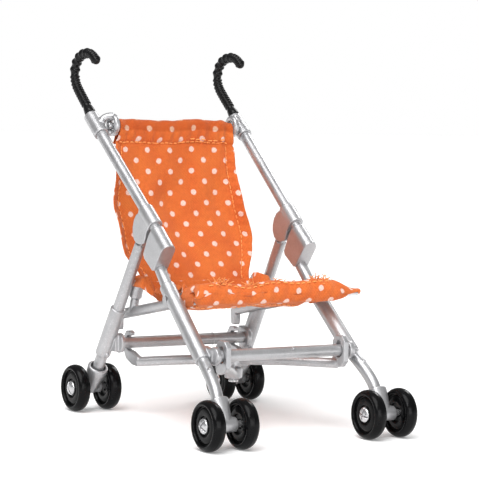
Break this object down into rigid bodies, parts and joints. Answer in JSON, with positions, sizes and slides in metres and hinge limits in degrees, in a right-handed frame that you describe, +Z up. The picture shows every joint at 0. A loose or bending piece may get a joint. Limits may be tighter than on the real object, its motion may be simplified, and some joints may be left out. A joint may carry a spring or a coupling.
{
  "type": "doll stroller",
  "caption": "Folding doll stroller with cane grips, twin wheels, a cross brace under the seat and an orange dotted fabric sling.",
  "frame": {"origin": "middle of the outline on the floor, between the wheels", "axes": "+Z up, -Y towards the front wheels, +X to the right of someone facing the front"},
  "size_m": [0.0516, 0.0794, 0.0836],
  "materials": {
    "frame_silver": "silver paint on moulded plastic",
    "pin_steel": "bright",
    "wheel_black": "glossy",
    "grip_black": "glossy",
    "sling_fabric": "woven cotton with pale dots"
  },
  "bodies": {
    "front_frame": {"grip_left": "grip_black", "handle_socket_left": "frame_silver", "push_tube_left": "frame_silver", "hinge_bracket_left": "frame_silver", "lock_block_left": "frame_silver", "front_upper_tube_left": "frame_silver", "front_leg_sleeve_left": "frame_silver", "front_lower_leg_left": "frame_silver", "front_wheel_carrier_left": "frame_silver", "hinge_pin_left": "pin_steel", "front_axle_left": "pin_steel", "grip_right": "grip_black", "handle_socket_right": "frame_silver", "push_tube_right": "frame_silver", "hinge_bracket_right": "frame_silver", "lock_block_right": "frame_silver", "front_upper_tube_right": "frame_silver", "front_leg_sleeve_right": "frame_silver", "front_lower_leg_right": "frame_silver", "front_wheel_carrier_right": "frame_silver", "hinge_pin_right": "pin_steel", "front_axle_right": "pin_steel", "front_crossbar": "frame_silver", "backrest_rod": "pin_steel", "backrest_fabric": "sling_fabric"},
    "rear_legs": {"rear_leg_left": "frame_silver", "rear_sleeve_left": "frame_silver", "rear_foot_left": "frame_silver", "rear_wheel_carrier_left": "frame_silver", "rear_axle_left": "pin_steel", "rear_leg_right": "frame_silver", "rear_sleeve_right": "frame_silver", "rear_foot_right": "frame_silver", "rear_wheel_carrier_right": "frame_silver", "rear_axle_right": "pin_steel", "rear_crossbar": "frame_silver"},
    "seat_frame": {"seat_rail_left": "frame_silver", "seat_rail_right": "frame_silver", "seat_front_rod": "pin_steel", "seat_fabric": "sling_fabric"},
    "cross_brace": {"brace_link_a": "frame_silver", "brace_link_b": "frame_silver", "brace_pin": "pin_steel"},
    "wheel_front_left_outer": {"wheel_front_left_outer": "wheel_black"},
    "wheel_front_left_inner": {"wheel_front_left_inner": "wheel_black"},
    "wheel_rear_left_outer": {"wheel_rear_left_outer": "wheel_black"},
    "wheel_rear_left_inner": {"wheel_rear_left_inner": "wheel_black"},
    "wheel_front_right_outer": {"wheel_front_right_outer": "wheel_black"},
    "wheel_front_right_inner": {"wheel_front_right_inner": "wheel_black"},
    "wheel_rear_right_outer": {"wheel_rear_right_outer": "wheel_black"},
    "wheel_rear_right_inner": {"wheel_rear_right_inner": "wheel_black"}
  },
  "joints": [
    {"name": "frame_fold", "type": "hinge", "parent": "front_frame", "child": "rear_legs", "pos_m": [0, 0.00517, 0.0426], "axis": [-1, 0, 0], "range_deg": [0, 45]},
    {"name": "seat_fold", "type": "hinge", "parent": "front_frame", "child": "seat_frame", "pos_m": [0, -0.00573, 0.0286], "axis": [-1, 0, 0], "range_deg": [0, 18.5]},
    {"name": "brace_swing", "type": "hinge", "parent": "front_frame", "child": "cross_brace", "pos_m": [0, -0.02433, 0.0184], "axis": [-1, 0, 0], "range_deg": [0, 11.5]},
    {"name": "wheel_front_left_outer_spin", "type": "hinge", "parent": "front_frame", "child": "wheel_front_left_outer", "pos_m": [-0.02415, -0.03423, 0.0054], "axis": [1, 0, 0], "continuous": true},
    {"name": "wheel_front_left_inner_spin", "type": "hinge", "parent": "front_frame", "child": "wheel_front_left_inner", "pos_m": [-0.01605, -0.03423, 0.0054], "axis": [1, 0, 0], "continuous": true},
    {"name": "wheel_front_right_outer_spin", "type": "hinge", "parent": "front_frame", "child": "wheel_front_right_outer", "pos_m": [0.02415, -0.03423, 0.0054], "axis": [1, 0, 0], "continuous": true},
    {"name": "wheel_front_right_inner_spin", "type": "hinge", "parent": "front_frame", "child": "wheel_front_right_inner", "pos_m": [0.01605, -0.03423, 0.0054], "axis": [1, 0, 0], "continuous": true},
    {"name": "wheel_rear_left_outer_spin", "type": "hinge", "parent": "rear_legs", "child": "wheel_rear_left_outer", "pos_m": [-0.02355, 0.02747, 0.0054], "axis": [1, 0, 0], "continuous": true},
    {"name": "wheel_rear_left_inner_spin", "type": "hinge", "parent": "rear_legs", "child": "wheel_rear_left_inner", "pos_m": [-0.01545, 0.02747, 0.0054], "axis": [1, 0, 0], "continuous": true},
    {"name": "wheel_rear_right_outer_spin", "type": "hinge", "parent": "rear_legs", "child": "wheel_rear_right_outer", "pos_m": [0.02355, 0.02747, 0.0054], "axis": [1, 0, 0], "continuous": true},
    {"name": "wheel_rear_right_inner_spin", "type": "hinge", "parent": "rear_legs", "child": "wheel_rear_right_inner", "pos_m": [0.01545, 0.02747, 0.0054], "axis": [1, 0, 0], "continuous": true}
  ],
  "couplings": [
    {"joint": "seat_fold", "follows": "frame_fold", "ratio": 0.4},
    {"joint": "brace_swing", "follows": "frame_fold", "ratio": 0.25}
  ]
}
